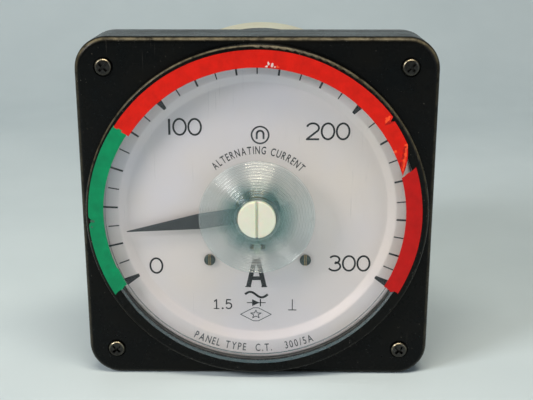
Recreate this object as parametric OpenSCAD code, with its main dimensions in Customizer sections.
// Square switchboard ammeter with a round window, a 240 degree dial and a central zero adjuster.
// Every piece is drawn as seen from the front: X to the right, Y up and Z towards the viewer,
// measured from the panel that the meter is fixed to. upright() then stands it on its lower edge.

/* [Case] */
// Side of the square front
case_size = 110; // [110:1:124]
// Corner radius of the square front
case_corner_r = 10; // [8:0.5:12]
// Rounding of the front edge
case_edge_r = 2; // [1:0.5:3]
// Height of the front face above the panel
face_z = 20; // [20:0.5:23]
// Thickness of the mounting flange
flange_t = 5; // [4:0.5:5]
// Wall thickness of the mouldings
wall = 3; // [2.5:0.5:3]
// Radius of the round housing behind the panel
barrel_r = 50; // [49:0.5:51]
// Length of the black housing behind the panel
barrel_depth = 52; // [50:1:60]
// Length of the cream rear cap
cap_depth = 23; // [22:1:28]

/* [Window and dial] */
// Radius of the clear window
window_r = 49.5; // [49:0.1:49.8]
// Height of the round lip above the front face
lip_h = 3.5; // [3:0.1:4]
// Radius of the dial plate
dial_r = 49.3; // [48.5:0.1:49.4]
// Depth of the dial's floor below its scale ring
dial_dish = 2; // [1.5:0.1:2.2]
// Radius of the clear boss that carries the zero adjuster
boss_r = 18; // [15:0.5:20]

/* [Pointer and adjuster] */
// Length of the pointer from the axis to its tip
pointer_r = 41.7; // [36:0.1:42]
// Angle of the pointer above the left horizontal, clockwise, at rest
pointer_rest = -8.6; // [-28.8:0.1:209.5]
// Radius of the zero adjuster's head
knob_r = 5.9; // [5:0.1:7]

/* [Fixings] */
// Half the spacing of the panel studs
stud_at = 40; // [39:0.5:42]
// Radius of the panel studs
stud_r = 2.5; // [2:0.5:3]
// Free length of the panel studs
stud_len = 16; // [12:1:25]
// Distance of the cover screws from the middle, both ways
cover_screw_at = 46; // [45:0.5:46.5]
// Distance of the terminals from the middle
terminal_at = 20; // [18:1:24]
// Radius of the free end of the terminal studs
terminal_r = 3; // [2:0.5:3]
// Free length of the terminal studs
terminal_len = 14.6; // [10:0.1:18]

/* [Hidden] */
$fn = 96;
gap = 0.05;             // running gap of the turning pieces
slack = 0.1;            // gap between pieces that only lie beside each other
slip = 0.02;            // gap of a fixed screw or stud in its hole
eps = 1;                // overshoot of a cut past the face that it opens

// Heights of the front stack, towards the viewer
gasket_t = 0.5;
cover_back = flange_t + gasket_t;
lip_z = face_z + lip_h;
window_flange_z = lip_z - 2.2;
window_back = window_flange_z - 1;
window_flange_r = window_r + 1.7;
lip_r = window_r + 3.7;
dial_z = face_z - 1;
floor_z = dial_z - dial_dish;
sheet = 0.8;            // thickness of the dial sheet
dial_back = floor_z - sheet;
pointer_z = face_z - 1.1;
pointer_t = 0.3;
crank_z = face_z - 0.05;
crank_t = 0.95;
tape_t = 0.15;
window_gasket_t = 0.6;
ring_screw_at = 54;     // from the axis to the screws of the window's ring
ring_screw_r = 0.9;
cover_screw_r = 1.5;
cover_boss_r = 4.5;
cover_seat_z = face_z - 0.8;
spotface_r = 3;

// Heights of the movement, from the panel
chassis_t = 1.6;
bridge_z = 9.5;
bridge_t = 2;
lever_z = 12.05;
lever_t = 0.8;
bushing_z = lever_z + lever_t + 0.25;
foot_z = 5;
foot_t = 0.6;
spring_z = 7;
core_z0 = -9;
core_z1 = 1;
plate_z = -16;          // front face of the rear plate
plate_t = 2;
board_z = -32.4;        // front face of the circuit board
board_t = 1.6;
ct_z0 = -58;            // rear face of the transformer core
ct_z1 = -44;
cap_z = -barrel_depth;
rear_z = cap_z - cap_depth;

// Places and radii shared by pieces that meet
dial_screw_at = [15.3, -16.2];
dial_screw_r = 1;
dial_screw_z = 4;       // inner end of the dial screws
pillar_r = 2.2;
stop_at = [7.2, -9.6];
stop_r = 0.8;
drive_r = 12;           // from the axis to the drive pin
drive_pin_r = 0.6;
zero_swing = 8;         // travel of the zero adjuster each way, in degrees
drive_slot = [drive_r * sin(zero_swing) + drive_pin_r + 0.15, drive_pin_r + 0.3];
stem_r = 3;
spigot_r = 2;
jewel_r = 1.2;
bushing_r = 2;
staff_r = 0.6;
staff_z = [-14.2, 7.9]; // ends of the staff, without its points
yoke_r = [18.6, 24];
core_r = [8.5, 15];
coil_r = [7.5, 15.8];   // clear opening of the coil, inner and outer side
former_t = 0.4;
winding_t = 0.4;
coil_half_w = 1.8;
coil_air = 0.7;         // gap between the coil and the faces of the core
magnet_half_deg = 26;
frame_r = 27.5;         // from the axis to the movement pillars
frame_degs = [30, 150, 270];
frame_screw_r = 1.2;
chassis_r = 46.3;
chassis_screw_at = 43;
chassis_screw_r = 1.25;
cap_screw_at = 41.5;
cap_screw_r = 2;
cap_boss_r = 4;
cap_thread_len = 12;
chassis_boss_len = 10;
cap_floor_t = 4;
cap_degs = [90, 210, 330];
spigot_len = 3;
cap_sink = 3;           // depth of the cap screws' counterbores
support_at = 24;        // upper dial supports, both ways
stud_head_h = 2;
stud_root_h = 1.5;      // collar of a panel stud, and the depth left below a cover screw
shank_r = 4;            // threaded shank of the terminals, where they pass the cap
terminal_head_h = 4;
terminal_nut_h = 5;
washer_t = 1.2;
nut_end_z = rear_z - 2 * washer_t - terminal_nut_h;
lead_r = 0.55;
grommet_at = [-20, -27.5];
ct_screw_at = [15, 12];
ct_screw_r = 1.25;
core_half = [18, 15];   // outer size of the transformer core, halved
leg_half = [6, 9];      // its middle leg, halved
core_window_x = 12;     // outer edge of its windows
bobbin_t = 0.8;
winding_out = 5.2;      // from the middle leg to the outside of the winding

black = "#15130f";
cream = "#dcd7bd";
steel = "#a9adb0";
brass = "#c2a15a";
copper = "#b06a3c";

// ---------- placing ----------

// Stands a piece drawn from the front on its lower edge.
module upright() {
    rotate([90, 0, 0]) children();
}

// Turns a piece drawn along +X to the pointer's direction at rest.
module at_pointer() {
    rotate([0, 0, 180 - pointer_rest]) children();
}

// Repeats its children at the four corners of a rectangle.
module at_corners(x, y) {
    for (sx = [-1, 1], sy = [-1, 1])
        translate([sx * x, sy * y, 0]) children();
}

// Repeats its children to the left and right of the middle.
module at_both(place) {
    for (side = [-1, 1])
        translate([side * place[0], place[1], 0]) children();
}

// Repeats its children on a circle, at the angles listed.
module at_angles(r, degs) {
    for (a = degs)
        rotate([0, 0, a]) translate([r, 0, 0]) children();
}

// ---------- shapes ----------

module rounded_square(size, r) {
    square([size, size - 2 * r], center = true);
    square([size - 2 * r, size], center = true);
    at_corners(size / 2 - r, size / 2 - r) circle(r);
}

// Half section of a block of width w and height h whose upper outer edge is rounded.
module edge_section(w, h, edge) {
    square([w, h - edge]);
    square([w - edge, h]);
    translate([w - edge, h - edge]) circle(edge, $fn = 48);
}

// Square block with round corners and a rounded upper edge, standing on z = 0.
module rounded_slab(size, r, h, edge) {
    side = size - 2 * r;
    at_corners(side / 2, side / 2)
        rotate_extrude() edge_section(r, h, edge);
    for (turn = [0, 90])
        rotate([90, 0, turn])
            linear_extrude(side, center = true) {
                edge_section(size / 2, h, edge);
                mirror([1, 0]) edge_section(size / 2, h, edge);
            }
}

// Disc whose upper outer edge is rounded, standing on z = 0.
module rounded_disc(r, h, edge) {
    rotate_extrude() edge_section(r, h, edge);
}

module ring(r_in, r_out, h) {
    linear_extrude(h)
        difference() {
            circle(r_out);
            circle(r_in);
        }
}

// Flat pie slice that reaches past radius r, used to cut sectors.
module wedge(r, half_deg) {
    polygon([
        [0, 0],
        [2 * r * cos(half_deg), -2 * r * sin(half_deg)],
        [2 * r, 0],
        [2 * r * cos(half_deg), 2 * r * sin(half_deg)]
    ]);
}

// Ring sector around the direction mid_deg.
module ring_sector(r_in, r_out, h, mid_deg, half_deg) {
    linear_extrude(h)
        intersection() {
            difference() {
                circle(r_out);
                circle(r_in);
            }
            rotate(mid_deg) wedge(r_out, half_deg);
        }
}

// Screw with a domed head that stands on z = 0 and a shank that runs down from it.
module pan_screw(head_r, head_h, shank_r, shank_len, slot_w) {
    difference() {
        rounded_disc(head_r, head_h, head_h * 0.45);
        translate([0, 0, head_h])
            cube([2 * head_r + eps, slot_w, head_h], center = true);
    }
    translate([0, 0, -shank_len]) cylinder(h = shank_len, r = shank_r);
}

function unit(v) = v / norm(v);

// Points of a smooth curve through the places of a route.
function spline(p, steps) = [
    for (i = [0:len(p) - 2], s = [0:steps - 1])
        let (
            a = p[max(i - 1, 0)], b = p[i], c = p[i + 1], d = p[min(i + 2, len(p) - 1)],
            t = s / steps
        )
        0.5 * (2 * b + (c - a) * t + (2 * a - 5 * b + 4 * c - d) * t * t
            + (3 * b - a - 3 * c + d) * t * t * t),
    p[len(p) - 1]
];

// Direction of a route at point i.
function heading(p, i) = unit(p[min(i + 1, len(p) - 1)] - p[max(i - 1, 0)]);

// Round wire along a route, with ends cut square to the route's first and last steps.
module wire(route, r, steps = 4, sides = 8) {
    path = spline(route, steps);
    end = len(path) - 1;
    aside = [0.31, 0.93, 0.17];
    rings = [
        for (i = [0:end])
            let (
                at_end = i == 0 || i == end,
                t = at_end ? heading(route, i == 0 ? 0 : len(route) - 1) : heading(path, i),
                u = unit(cross(t, aside)),
                v = cross(t, u)
            )
            for (k = [0:sides - 1])
                path[i] + r * (cos(360 * k / sides) * u + sin(360 * k / sides) * v)
    ];
    last = end * sides;
    polyhedron(rings, concat(
        [[for (k = [0:sides - 1]) k]],
        [[for (k = [sides - 1:-1:0]) last + k]],
        [
            for (i = [0:end - 1], k = [0:sides - 1])
                let (j = (k + 1) % sides)
                [i * sides + k, (i + 1) * sides + k, (i + 1) * sides + j, i * sides + j]
        ]
    ));
}

// ---------- case ----------

module front_cover() color(black) upright() {
    cover_h = face_z - cover_back;
    difference() {
        union() {
            difference() {
                translate([0, 0, cover_back])
                    rounded_slab(case_size, case_corner_r, cover_h, case_edge_r);
                translate([0, 0, cover_back - eps])
                    linear_extrude(cover_h - wall + eps)
                        rounded_square(case_size - 2 * wall, case_corner_r - wall);
            }
            translate([0, 0, face_z - 1])
                rounded_disc(lip_r, lip_h + 1, 1.2);
            at_corners(cover_screw_at, cover_screw_at)
                translate([0, 0, cover_back]) cylinder(h = cover_h - 1, r = cover_boss_r);
        }
        translate([0, 0, face_z - 2 * wall]) cylinder(h = 4 * wall, r = window_r + slack);
        translate([0, 0, face_z - 2 * wall])
            cylinder(h = window_flange_z - face_z + 2 * wall, r = window_flange_r + slack);
        at_corners(cover_screw_at, cover_screw_at) {
            translate([0, 0, cover_seat_z]) cylinder(h = lip_h, r = spotface_r);
            cylinder(h = face_z, r = cover_screw_r + 2 * slack);
        }
        at_angles(ring_screw_at, [45:90:315])
            translate([0, 0, face_z - wall - eps]) cylinder(h = 2.2 + eps, r = ring_screw_r + slip);
    }
}

module window() color("#cfe6ea", 0.35) upright() {
    difference() {
        union() {
            translate([0, 0, window_flange_z]) cylinder(h = lip_z - window_flange_z, r = window_r);
            translate([0, 0, window_back])
                ring(window_r - 2, window_flange_r, window_flange_z - window_back);
        }
        cylinder(h = 2 * lip_z, r = stem_r + gap);
    }
}

module window_gasket() color("#2a2825") upright() {
    translate([0, 0, window_back - window_gasket_t])
        ring(window_r + 0.2, window_flange_r, window_gasket_t);
}

module window_ring() color(steel) upright() {
    ear_t = 0.8;
    ear_z = face_z - wall - ear_t;
    difference() {
        union() {
            translate([0, 0, ear_z])
                ring(window_r + 0.2, window_flange_r, window_back - window_gasket_t - ear_z);
            translate([0, 0, ear_z])
                at_angles(52.5, [45:90:315]) linear_extrude(ear_t) {
                    square([4, 6], center = true);
                    translate([2, 0]) circle(3);
                }
        }
        translate([0, 0, ear_z - eps]) {
            cylinder(h = 2 * wall, r = window_r + 0.2);
            at_angles(ring_screw_at, [45:90:315]) cylinder(h = 2 * wall, r = ring_screw_r + slip);
        }
    }
}

module window_ring_screws() color(steel) upright() {
    at_angles(ring_screw_at, [45:90:315])
        translate([0, 0, face_z - wall - 0.8])
            mirror([0, 0, 1]) pan_screw(1.8, 1.2, ring_screw_r, 2.8, 0.5);
}

module adjuster_boss() color("#d8ecec", 0.5) upright() {
    rim_h = 0.7;
    top_h = 1.4;
    collar = [knob_r + 0.15, knob_r + 0.7];
    translate([0, 0, lip_z])
        rotate_extrude()
            polygon([
                [stem_r + gap, 0],
                [boss_r, 0],
                [boss_r, rim_h],
                [collar[1], top_h],
                [collar[1], top_h + 0.4],
                [collar[0], top_h + 0.4],
                [collar[0], 1],
                [stem_r + gap, 1]
            ]);
}

module cross_recess(size, depth) {
    for (turn = [45, 135])
        rotate([0, 0, turn]) cube([size, 0.8, 2 * depth], center = true);
}

module cover_screws() color("#3a3833") upright() {
    head_h = 1.8;
    at_corners(cover_screw_at, cover_screw_at) {
        difference() {
            translate([0, 0, cover_seat_z]) rounded_disc(2.65, head_h, head_h / 2);
            translate([0, 0, cover_seat_z + head_h]) cross_recess(3.2, 1.2);
        }
        translate([0, 0, stud_root_h])
            cylinder(h = cover_seat_z - stud_root_h, r = cover_screw_r);
    }
}

module cover_gasket() color("#2a2825") upright() {
    translate([0, 0, flange_t])
        linear_extrude(gasket_t)
            difference() {
                rounded_square(case_size - 1.6, case_corner_r - 0.8);
                rounded_square(case_size - 2 * wall + 0.6, case_corner_r - wall + 0.3);
            }
}

// Strip of tape on the window's rim, from one dial angle to another.
module tape(r_in, r_out, from_deg, to_deg) {
    translate([0, 0, lip_z])
        rotate([0, 0, 180 - to_deg])
            rotate_extrude(angle = to_deg - from_deg)
                translate([r_in, 0]) square([r_out - r_in, tape_t]);
}

module green_tape() color("#008a55") upright() {
    tape(47, 51.8, -29.5, 33.7);
}

module red_tape() color("#dc2319") upright() {
    tape(46.3, 51.5, 33.7, 160);
}

module red_tape_end() color("#be1410") upright() {
    tape(46, 50.8, 163.5, 209.8);
}

module base_housing() color(black) upright() {
    bore_r = barrel_r - wall;
    difference() {
        union() {
            difference() {
                union() {
                    linear_extrude(flange_t) rounded_square(case_size, case_corner_r);
                    translate([0, 0, cap_z]) cylinder(h = barrel_depth, r = barrel_r);
                }
                translate([0, 0, cap_z - eps])
                    cylinder(h = barrel_depth + flange_t + 2 * eps, r = bore_r);
            }
            at_angles(bore_r - 3, [45:90:315])
                translate([0, 0, -chassis_boss_len]) cylinder(h = chassis_boss_len, r = cap_boss_r);
            at_angles(cap_screw_at + 1, cap_degs)
                translate([0, 0, cap_z + spigot_len])
                    cylinder(h = cap_thread_len, r = cap_boss_r + 1);
        }
        at_angles(chassis_screw_at, [45:90:315])
            translate([0, 0, 2 - chassis_boss_len])
                cylinder(h = chassis_boss_len, r = chassis_screw_r + slip);
        at_angles(cap_screw_at, cap_degs)
            translate([0, 0, cap_z]) cylinder(h = cap_thread_len, r = cap_screw_r + slip);
        at_corners(cover_screw_at, cover_screw_at)
            translate([0, 0, stud_root_h]) cylinder(h = flange_t, r = cover_screw_r + slip);
        at_corners(stud_at, stud_at) stud_root(slip);
    }
}

// Collar and hexagonal head of a panel stud, which are moulded into the flange.
module stud_root(grow) {
    translate([0, 0, -grow]) cylinder(h = stud_root_h + 2 * grow, r = stud_r + 0.6 + grow);
    translate([0, 0, stud_root_h - grow])
        cylinder(h = stud_head_h + 2 * grow, r = 4.5 + 2 * grow, $fn = 6);
}

module panel_studs() color(steel) upright() {
    at_corners(stud_at, stud_at) {
        translate([0, 0, -stud_len]) cylinder(h = stud_len, r = stud_r);
        stud_root(0);
    }
}

// Half section of the cup of the rear cap, with the spigot that enters the housing.
module cap_section() {
    edge = 2;
    bore_r = barrel_r - wall;
    difference() {
        union() {
            translate([0, rear_z + edge]) square([barrel_r, cap_depth - edge]);
            translate([0, rear_z]) square([barrel_r - edge, cap_depth]);
            translate([barrel_r - edge, rear_z + edge]) circle(edge, $fn = 48);
            translate([0, cap_z]) square([bore_r - slack, spigot_len - slack]);
        }
        translate([0, rear_z + cap_floor_t]) square([bore_r - wall, 2 * cap_depth]);
    }
}

module rear_cap() color(cream) upright() {
    boss_z = rear_z + cap_floor_t / 2;
    barrier = [2.4, 30, 9];
    difference() {
        union() {
            rotate_extrude() cap_section();
            at_angles(cap_screw_at, cap_degs)
                translate([0, 0, boss_z])
                    cylinder(h = cap_z + spigot_len - 2 * slack - boss_z, r = cap_boss_r);
            // barrier between the terminals
            translate([-barrier[0] / 2, -barrier[1] / 2, rear_z - barrier[2]])
                cube(barrier + [0, 0, 1]);
        }
        at_angles(cap_screw_at, cap_degs) {
            translate([0, 0, rear_z - eps])
                cylinder(h = cap_depth + 2 * spigot_len, r = cap_screw_r + 0.2);
            translate([0, 0, rear_z - eps]) cylinder(h = cap_sink + eps, r = 3.8);
        }
        at_both([terminal_at, 0])
            translate([0, 0, rear_z - eps]) cylinder(h = cap_floor_t + 2 * eps, r = shank_r + slip);
    }
}

module cap_screws() color(steel) upright() {
    at_angles(cap_screw_at, cap_degs)
        translate([0, 0, rear_z + cap_sink])
            mirror([0, 0, 1]) pan_screw(3.5, 2.2, cap_screw_r, cap_depth + 5, 1);
}

// Stepped studs: the shank is clamped to the cap and the thinner free end takes a cable lug.
module terminal_studs() color(brass) upright() {
    at_both([terminal_at, 0]) {
        translate([0, 0, nut_end_z - terminal_len]) cylinder(h = terminal_len, r = terminal_r);
        translate([0, 0, nut_end_z]) cylinder(h = rear_z + cap_floor_t - nut_end_z, r = shank_r);
        translate([0, 0, rear_z + cap_floor_t])
            cylinder(h = terminal_head_h, r = shank_r + 2.5, $fn = 6);
    }
}

module terminal_washers() color(brass) upright() {
    at_both([terminal_at, 0])
        translate([0, 0, rear_z - washer_t]) ring(shank_r + slip, shank_r + 3.6, washer_t);
}

module terminal_spring_washers() color(steel) upright() {
    at_both([terminal_at, 0])
        translate([0, 0, rear_z - 2 * washer_t])
            difference() {
                ring(shank_r + slip, shank_r + 2.4, washer_t);
                rotate([0, 0, 70])
                    translate([shank_r + 1.2, 0, 0]) cube([4, 0.6, 4], center = true);
            }
}

module terminal_nuts() color(brass) upright() {
    at_both([terminal_at, 0])
        translate([0, 0, nut_end_z])
            difference() {
                cylinder(h = terminal_nut_h, r = 7.5, $fn = 6);
                translate([0, 0, -eps])
                    cylinder(h = terminal_nut_h + 2 * eps, r = shank_r + slip);
            }
}

module rear_label() color("#e9e6da") upright() {
    translate([0, 27, rear_z - 0.2]) cube([38, 14, 0.4], center = true);
}

// ---------- dial ----------

module dial_plate() color("#e6e3e4") upright() {
    wall_r = [41, 43.5];
    hole_r = 7.2;
    difference() {
        rotate_extrude()
            polygon([
                [hole_r, floor_z],
                [wall_r[0], floor_z],
                [wall_r[1], dial_z],
                [dial_r, dial_z],
                [dial_r, dial_z - sheet],
                [wall_r[1] + 0.5, dial_z - sheet],
                [wall_r[0] + 0.5, dial_back],
                [hole_r, dial_back]
            ]);
        translate([-drive_slot[0], -drive_r - drive_slot[1], dial_back - eps])
            cube([2 * drive_slot[0], 2 * drive_slot[1], 4 * sheet]);
        at_both(dial_screw_at)
            translate([0, 0, dial_back - eps]) cylinder(h = 4 * sheet, r = dial_screw_r + slip);
    }
}

module dial_screws() color(brass) upright() {
    at_both(dial_screw_at)
        translate([0, 0, floor_z])
            rotate([0, 0, 90]) pan_screw(1.8, 1.2, dial_screw_r, floor_z - dial_screw_z, 0.5);
}

module dial_spacers() color(brass) upright() {
    at_both(dial_screw_at)
        translate([0, 0, bridge_z + bridge_t])
            ring(dial_screw_r + slip, pillar_r, dial_back - bridge_z - bridge_t);
}

module dial_pillars() color(brass) upright() {
    at_both(dial_screw_at)
        difference() {
            translate([0, 0, chassis_t]) cylinder(h = bridge_z - chassis_t, r = pillar_r);
            translate([0, 0, dial_screw_z]) cylinder(h = bridge_z, r = dial_screw_r + slip);
        }
}

module dial_supports() color(brass) upright() {
    at_both([support_at, support_at])
        translate([0, 0, chassis_t]) cylinder(h = dial_back - chassis_t, r = 1.8);
}

// ---------- fixed part of the movement ----------

module chassis_plate() color("#c8c29a") upright() {
    linear_extrude(chassis_t)
        difference() {
            circle(chassis_r);
            circle(yoke_r[0] + 0.8);
            at_angles(chassis_screw_at, [45:90:315]) circle(chassis_screw_r);
            at_angles(frame_r, frame_degs) circle(frame_screw_r);
            translate(grommet_at) circle(2);
        }
}

module chassis_screws() color(steel) upright() {
    at_angles(chassis_screw_at, [45:90:315])
        translate([0, 0, chassis_t]) pan_screw(2.3, 1.6, chassis_screw_r, chassis_t + 7.5, 0.6);
}

module movement_pillars() color(brass) upright() {
    at_angles(frame_r, frame_degs)
        translate([0, 0, plate_z]) ring(frame_screw_r, 2.5, -plate_z);
}

// Screws in both ends of the frame: through the chassis and through the circuit board.
module frame_screws() color(steel) upright() {
    at_angles(frame_r, frame_degs) {
        translate([0, 0, chassis_t]) pan_screw(2.1, 1.4, frame_screw_r, 7, 0.5);
        translate([0, 0, board_z - board_t])
            mirror([0, 0, 1]) pan_screw(2.1, 1.4, frame_screw_r, 7, 0.5);
    }
}

module rear_plate() color("#c8c29a") upright() {
    translate([0, 0, plate_z - plate_t])
        linear_extrude(plate_t)
            difference() {
                circle(31);
                circle(jewel_r);
                at_angles(frame_r, frame_degs) circle(frame_screw_r);
                at_angles(11.5, [80, 100]) circle(1);
                translate([0, -5]) circle(0.7);
            }
}

// Cantilever that carries the front jewel above the coil. Its arm stays in the dial's lower gap,
// which the pointer never enters.
module front_bridge() color(brass) upright() {
    difference() {
        union() {
            translate([0, 0, bridge_z])
                linear_extrude(bridge_t) {
                    translate([-1.3, -16]) square([2.6, 15]);
                    translate([-dial_screw_at[0], dial_screw_at[1] - 2.8])
                        square([2 * dial_screw_at[0], 5.6]);
                    at_both(dial_screw_at) circle(2.8);
                    at_both([stop_at[0], -12]) square([2.4, 7], center = true);
                    translate([-24, dial_screw_at[1] - 1.5]) square([8, 3]);
                }
            translate([0, 0, bridge_z]) cylinder(h = lever_z - bridge_z - gap, r = 3);
            translate([0, 0, bridge_z]) cylinder(h = bushing_z - bridge_z, r = bushing_r);
        }
        cylinder(h = face_z, r = jewel_r);
        at_both(dial_screw_at) cylinder(h = face_z, r = dial_screw_r + slip);
    }
}

module end_stops() color("#2a2825") upright() {
    at_both(stop_at)
        translate([0, 0, foot_z - 0.4]) cylinder(h = bridge_z - foot_z + 0.4, r = stop_r);
}

// Jewel screw that stands on z = 0: a cup below for the pivot and a slot above.
module jewel_screw(len) {
    difference() {
        cylinder(h = len, r = jewel_r);
        translate([0, 0, -0.01]) cylinder(h = 0.6, r1 = 0.9, r2 = 0.15);
        translate([0, 0, len]) cube([3, 0.5, 1.4], center = true);
    }
}

module jewel_screws() color("#b8bcc0") upright() {
    translate([0, 0, 8.2]) jewel_screw(6.4);
    translate([0, 0, -14.5]) mirror([0, 0, 1]) jewel_screw(7);
}

module lock_nut() {
    difference() {
        cylinder(h = 1.2, r = 2.7, $fn = 6);
        translate([0, 0, -eps]) cylinder(h = 4, r = jewel_r);
    }
}

module jewel_lock_nuts() color(brass) upright() {
    translate([0, 0, bushing_z]) lock_nut();
    translate([0, 0, plate_z - plate_t - 1.2]) lock_nut();
}

module yoke_ring() color("#8d9296") upright() {
    translate([0, 0, plate_z]) ring(yoke_r[0], yoke_r[1], -plate_z);
}

// Soft-iron ring that the coil swings around, split at the top so that the coil can be slipped on.
module core_ring() color("#8d9296") upright() {
    difference() {
        translate([0, 0, core_z0]) ring(core_r[0], core_r[1], core_z1 - core_z0);
        translate([0, 12, 0]) cube([1.6, 12, 40], center = true);
    }
}

module magnet() color("#55585c") upright() {
    translate([0, 0, core_z0])
        ring_sector(core_r[1] + slip, yoke_r[0] - slip, core_z1 - core_z0, 90, magnet_half_deg);
}

module core_support() color(brass) upright() {
    difference() {
        translate([0, 0, plate_z])
            ring_sector(core_r[0] + 0.5, core_r[1] - 0.5, core_z0 - plate_z, 90, 20);
        at_angles(11.5, [80, 100])
            translate([0, 0, plate_z - eps]) cylinder(h = 5 + eps, r = 1);
    }
}

module core_support_screws() color(steel) upright() {
    at_angles(11.5, [80, 100])
        translate([0, 0, plate_z - plate_t])
            mirror([0, 0, 1]) pan_screw(1.8, 1.2, 1, plate_t + 4.8, 0.5);
}

module rear_spring_anchor() color(brass) upright() {
    translate([0, -5, -19.5]) cylinder(h = 6.6, r = 0.7);
}

// ---------- electrical parts ----------

module board_pillars() color(brass) upright() {
    pillar_len = plate_z - plate_t - board_z;
    at_angles(frame_r, frame_degs)
        difference() {
            union() {
                translate([0, 0, board_z]) cylinder(h = pillar_len, r = 2.5);
                translate([0, 0, board_z]) cylinder(h = pillar_len + plate_t + 5, r = frame_screw_r);
            }
            translate([0, 0, board_z - eps]) cylinder(h = 6 + eps, r = frame_screw_r);
        }
}

module circuit_board() color("#8a6a35") upright() {
    translate([0, 0, board_z - board_t])
        linear_extrude(board_t)
            difference() {
                circle(36);
                at_angles(frame_r, frame_degs) circle(frame_screw_r);
                at_corners(ct_screw_at[0], ct_screw_at[1]) circle(ct_screw_r);
            }
}

module rectifier_diodes() color("#2b2b2b") upright() {
    diode_z = board_z + 2.4;
    for (i = [0:3])
        translate([-21, -9 + 6 * i, diode_z]) {
            rotate([0, 90, 0]) cylinder(h = 7, r = 1.5, center = true);
            for (side = [-1, 1])
                wire([[side * 3.5, 0, 0], [side * 5, 0, 0], [side * 5.6, 0, -0.8],
                    [side * 5.6, 0, -2.4]], 0.35, 3);
        }
}

// Wire-wound resistor on a flanged spool.
module calibrating_resistor() color("#7a4a22") upright() {
    translate([21, 0, board_z]) {
        cylinder(h = 9, r = 4.8);
        for (z = [0, 8])
            translate([0, 0, z]) cylinder(h = 1, r = 5.5);
    }
}

module transformer_core() color("#6f7376") upright() {
    translate([0, 0, ct_z0])
        linear_extrude(ct_z1 - ct_z0)
            difference() {
                square(2 * core_half, center = true);
                at_both([(core_window_x + leg_half[0]) / 2, 0])
                    square([core_window_x - leg_half[0], 2 * leg_half[1]], center = true);
                at_corners(ct_screw_at[0], ct_screw_at[1]) circle(ct_screw_r);
            }
}

// Square tube around the middle leg of the core, running up the leg.
module leg_tube(inner, outer, half_len) {
    mid_z = (ct_z0 + ct_z1) / 2;
    leg_depth = (ct_z1 - ct_z0) / 2;
    translate([0, 0, mid_z])
        rotate([90, 0, 0])
            linear_extrude(2 * half_len, center = true)
                difference() {
                    square(2 * [leg_half[0] + outer, leg_depth + outer], center = true);
                    square(2 * [leg_half[0] + inner, leg_depth + inner], center = true);
                }
}

module transformer_bobbin() color("#e8e0c4") upright() {
    leg_tube(slack, bobbin_t, leg_half[1] - slack);
    for (side = [-1, 1])
        translate([0, side * (leg_half[1] - 0.6), 0]) leg_tube(slack, winding_out + 0.5, 0.5);
}

module transformer_windings() color(copper) upright() {
    leg_tube(bobbin_t, winding_out, leg_half[1] - 1.1);
}

module transformer_fixings() color(steel) upright() {
    at_corners(ct_screw_at[0], ct_screw_at[1]) {
        translate([0, 0, ct_z1]) ring(ct_screw_r, 2.4, board_z - board_t - ct_z1);
        translate([0, 0, ct_z0])
            mirror([0, 0, 1]) pan_screw(2.3, 1.6, ct_screw_r, board_z - ct_z0 + 1, 0.6);
    }
}

module internal_leads() color("#a33a2a") upright() {
    winding_x = leg_half[0] + winding_out;
    for (side = [-1, 1]) {
        // terminal to primary winding
        wire([[side * terminal_at, 0, rear_z + 8], [side * terminal_at, 0, rear_z + 10],
            [side * 18.5, 0, rear_z + 12.5], [side * 15, 0, rear_z + 13.6],
            [side * winding_x, 0, rear_z + 13.6]], 1);
        // secondary winding to board
        wire([[side * 5, leg_half[1], -42], [side * 5, leg_half[1] + 1, -42],
            [side * 5, 11.5, -40.8], [side * 5, 12, -38], [side * 5, 12, -36],
            [side * 5, 12, board_z - board_t]], lead_r);
    }
    // board to rear hairspring
    wire([[8, -14, board_z], [8, -14, -28], [4, -9, -23.5], [0, -5, -21.5], [0, -5, -19.5]], lead_r);
    // board to front bridge, through the chassis
    wire([[grommet_at[0], grommet_at[1], board_z], [grommet_at[0], grommet_at[1], -20],
        [grommet_at[0], grommet_at[1], -8], [grommet_at[0], grommet_at[1], -1],
        [grommet_at[0], grommet_at[1], 2], [grommet_at[0], grommet_at[1], 3.4],
        [-22, -22, 6], [-22, dial_screw_at[1], 7.6], [-22, dial_screw_at[1], bridge_z]], lead_r);
}

module lead_grommet() color("#2a2825") upright() {
    translate([grommet_at[0], grommet_at[1], 0]) {
        translate([0, 0, -0.6]) ring(lead_r + 0.15, 2.8, 0.6);
        ring(lead_r + 0.15, 2 - slip, chassis_t);
    }
}

// ---------- zero adjuster ----------

module zero_adjust_screw() color("#ebe8cd") upright() {
    head_z = lip_z + 1 + gap;
    head_h = face_z + 6.4 - head_z;
    difference() {
        union() {
            translate([0, 0, head_z]) rounded_disc(knob_r, head_h, 0.35);
            translate([0, 0, crank_z + crank_t]) cylinder(h = head_z - crank_z - crank_t, r = stem_r);
            translate([0, 0, crank_z - 0.3]) cylinder(h = crank_t + 1, r = spigot_r);
        }
        translate([0, 0, head_z + head_h]) cube([0.9, 2 * knob_r + eps, 2], center = true);
    }
}

module adjuster_crank() color("#ebe8cd") upright() {
    difference() {
        translate([0, 0, crank_z])
            linear_extrude(crank_t) {
                circle(3.6);
                translate([-1.1, -drive_r]) square([2.2, drive_r]);
                translate([0, -drive_r]) circle(1.1);
            }
        cylinder(h = 2 * face_z, r = spigot_r);
    }
    translate([0, -drive_r, lever_z - 0.3])
        cylinder(h = crank_z - lever_z + 0.3, r = drive_pin_r);
}

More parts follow.
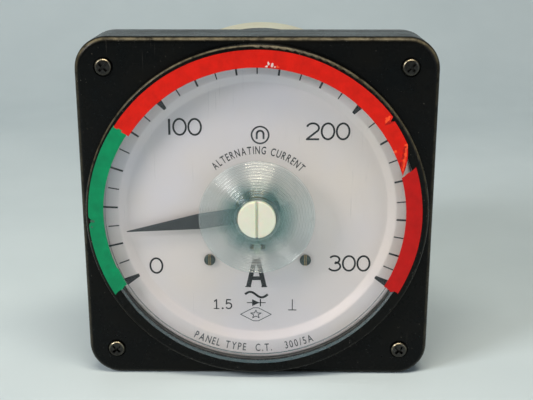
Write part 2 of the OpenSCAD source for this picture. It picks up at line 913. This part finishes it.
// Forked lever around the front jewel. Its leg holds the outer end of the front hairspring.
module zero_lever() color(brass) upright() {
    leg_at = [-3.1, -4.5];
    difference() {
        translate([0, 0, lever_z])
            linear_extrude(lever_t) {
                circle(3.8);
                translate([-1.9, -14]) square([3.8, 12]);
                translate(leg_at) circle(0.7);
                translate(leg_at) rotate(55) translate([0, -0.7]) square([3, 1.4]);
            }
        cylinder(h = face_z, r = bushing_r + gap);
        translate([-drive_pin_r - gap, -15, 0]) cube([2 * (drive_pin_r + gap), 5.2, face_z]);
    }
    translate([leg_at[0], leg_at[1], spring_z - 0.2])
        cylinder(h = lever_z - spring_z + 0.3, r = 0.5);
}

// ---------- moving element ----------

module pointer() color("#1c2022") upright() at_pointer() {
    shoulder_r = 18;
    half_w = 2.55;
    translate([0, 0, pointer_z])
        linear_extrude(pointer_t)
            polygon([
                [4.9, -half_w],
                [shoulder_r, -half_w],
                [pointer_r, -0.12],
                [pointer_r, 0.12],
                [shoulder_r, half_w],
                [4.9, half_w]
            ]);
}

// Cranked foot that brings the pointer round the front bridge, with the balance arms and the
// finger that meets the end stops.
module pointer_foot() color("#b9bcc0") upright() at_pointer() {
    riser_r = [5.3, 6];
    arm_r = 0.4;
    difference() {
        union() {
            translate([0, 0, foot_z]) cylinder(h = 1.4, r = 1.7);
            translate([1, -1.2, foot_z]) cube([12, 2.4, foot_t]);
            translate([riser_r[0], -1, foot_z])
                cube([riser_r[1] - riser_r[0], 2, pointer_z - foot_z]);
            for (turn = [90, 180, 270])
                rotate([0, 0, turn])
                    translate([1.2, 0, foot_z + 0.7]) rotate([0, 90, 0]) cylinder(h = 6.3, r = arm_r);
        }
        cylinder(h = 2 * face_z, r = staff_r);
    }
}

module balance_weights() color(brass) upright() at_pointer() {
    main = [4.4, 5.5, 3.65];
    translate([6.1, -main[1] / 2, foot_z + foot_t]) cube(main);
    for (turn = [90, 180, 270])
        rotate([0, 0, turn])
            translate([5, 0, foot_z + 0.7])
                rotate([0, 90, 0]) ring(0.4, 1, 1.4);
}

// Rectangular loop around the ring core, from one radius to another and one height to another.
module coil_loop(grow_in, grow_out, half_w) {
    r0 = coil_r[0];
    r1 = coil_r[1];
    z0 = core_z0 - coil_air;
    z1 = core_z1 + coil_air;
    rotate([90, 0, 180])
        linear_extrude(2 * half_w, center = true)
            difference() {
                translate([r0 - grow_out, z0 - grow_out])
                    square([r1 - r0 + 2 * grow_out, z1 - z0 + 2 * grow_out]);
                translate([r0 - grow_in, z0 - grow_in])
                    square([r1 - r0 + 2 * grow_in, z1 - z0 + 2 * grow_in]);
            }
}

// Light frame that the wire is wound on, with a small arm at each end of the pivot staff.
module coil_former() color("#c9ccd0") upright() at_pointer() {
    full = former_t + winding_t + slack;
    hub_t = 0.5;
    coil_loop(0, former_t, coil_half_w + 0.2);
    for (z = [core_z1 + coil_air + full, core_z0 - coil_air - full - hub_t])
        translate([0, 0, z])
            linear_extrude(hub_t)
                difference() {
                    union() {
                        circle(1.7);
                        translate([-9.5, -1]) square([9.5, 2]);
                    }
                    circle(staff_r);
                }
}

module coil_winding() color(copper) upright() at_pointer() {
    coil_loop(former_t, former_t + winding_t, coil_half_w);
}

module pivot_staff() color(steel) upright() {
    tip_h = 0.55;
    translate([0, 0, staff_z[0]]) cylinder(h = staff_z[1] - staff_z[0], r = staff_r);
    translate([0, 0, staff_z[1]]) cylinder(h = tip_h, r1 = staff_r, r2 = 0.1);
    translate([0, 0, staff_z[0] - tip_h]) cylinder(h = tip_h, r1 = 0.1, r2 = staff_r);
}

// Flat spiral strip from the staff's collet to the anchor, standing on z = 0.
module hairspring(r_in, r_out, turns, end_deg) {
    strip = 0.16;
    steps = 20 * turns;
    function at(i, off) =
        let (r = r_in + (r_out - r_in) * i / steps + off, a = end_deg - 18 * (steps - i))
        [r * cos(a), r * sin(a)];
    linear_extrude(0.5) {
        polygon(concat(
            [for (i = [0:steps]) at(i, -strip / 2)],
            [for (i = [steps:-1:0]) at(i, strip / 2)]
        ));
        difference() {
            circle(r_in);
            circle(staff_r);
        }
    }
}

module hairsprings() color("#c98f3e") upright() {
    translate([0, 0, spring_z]) hairspring(1.1, 4.9, 5, 235);
    translate([0, 0, -13.7]) hairspring(1.1, 4.3, 5, 270);
}

front_cover();
window();
window_gasket();
window_ring();
window_ring_screws();
adjuster_boss();
cover_screws();
cover_gasket();
green_tape();
red_tape();
red_tape_end();
base_housing();
panel_studs();
rear_cap();
cap_screws();
terminal_studs();
terminal_washers();
terminal_spring_washers();
terminal_nuts();
rear_label();
dial_plate();
dial_screws();
dial_spacers();
dial_pillars();
dial_supports();
chassis_plate();
chassis_screws();
movement_pillars();
frame_screws();
rear_plate();
front_bridge();
end_stops();
jewel_screws();
jewel_lock_nuts();
yoke_ring();
core_ring();
magnet();
core_support();
core_support_screws();
rear_spring_anchor();
board_pillars();
circuit_board();
rectifier_diodes();
calibrating_resistor();
transformer_core();
transformer_bobbin();
transformer_windings();
transformer_fixings();
internal_leads();
lead_grommet();
zero_adjust_screw();
adjuster_crank();
zero_lever();
pointer();
pointer_foot();
balance_weights();
coil_former();
coil_winding();
pivot_staff();
hairsprings();
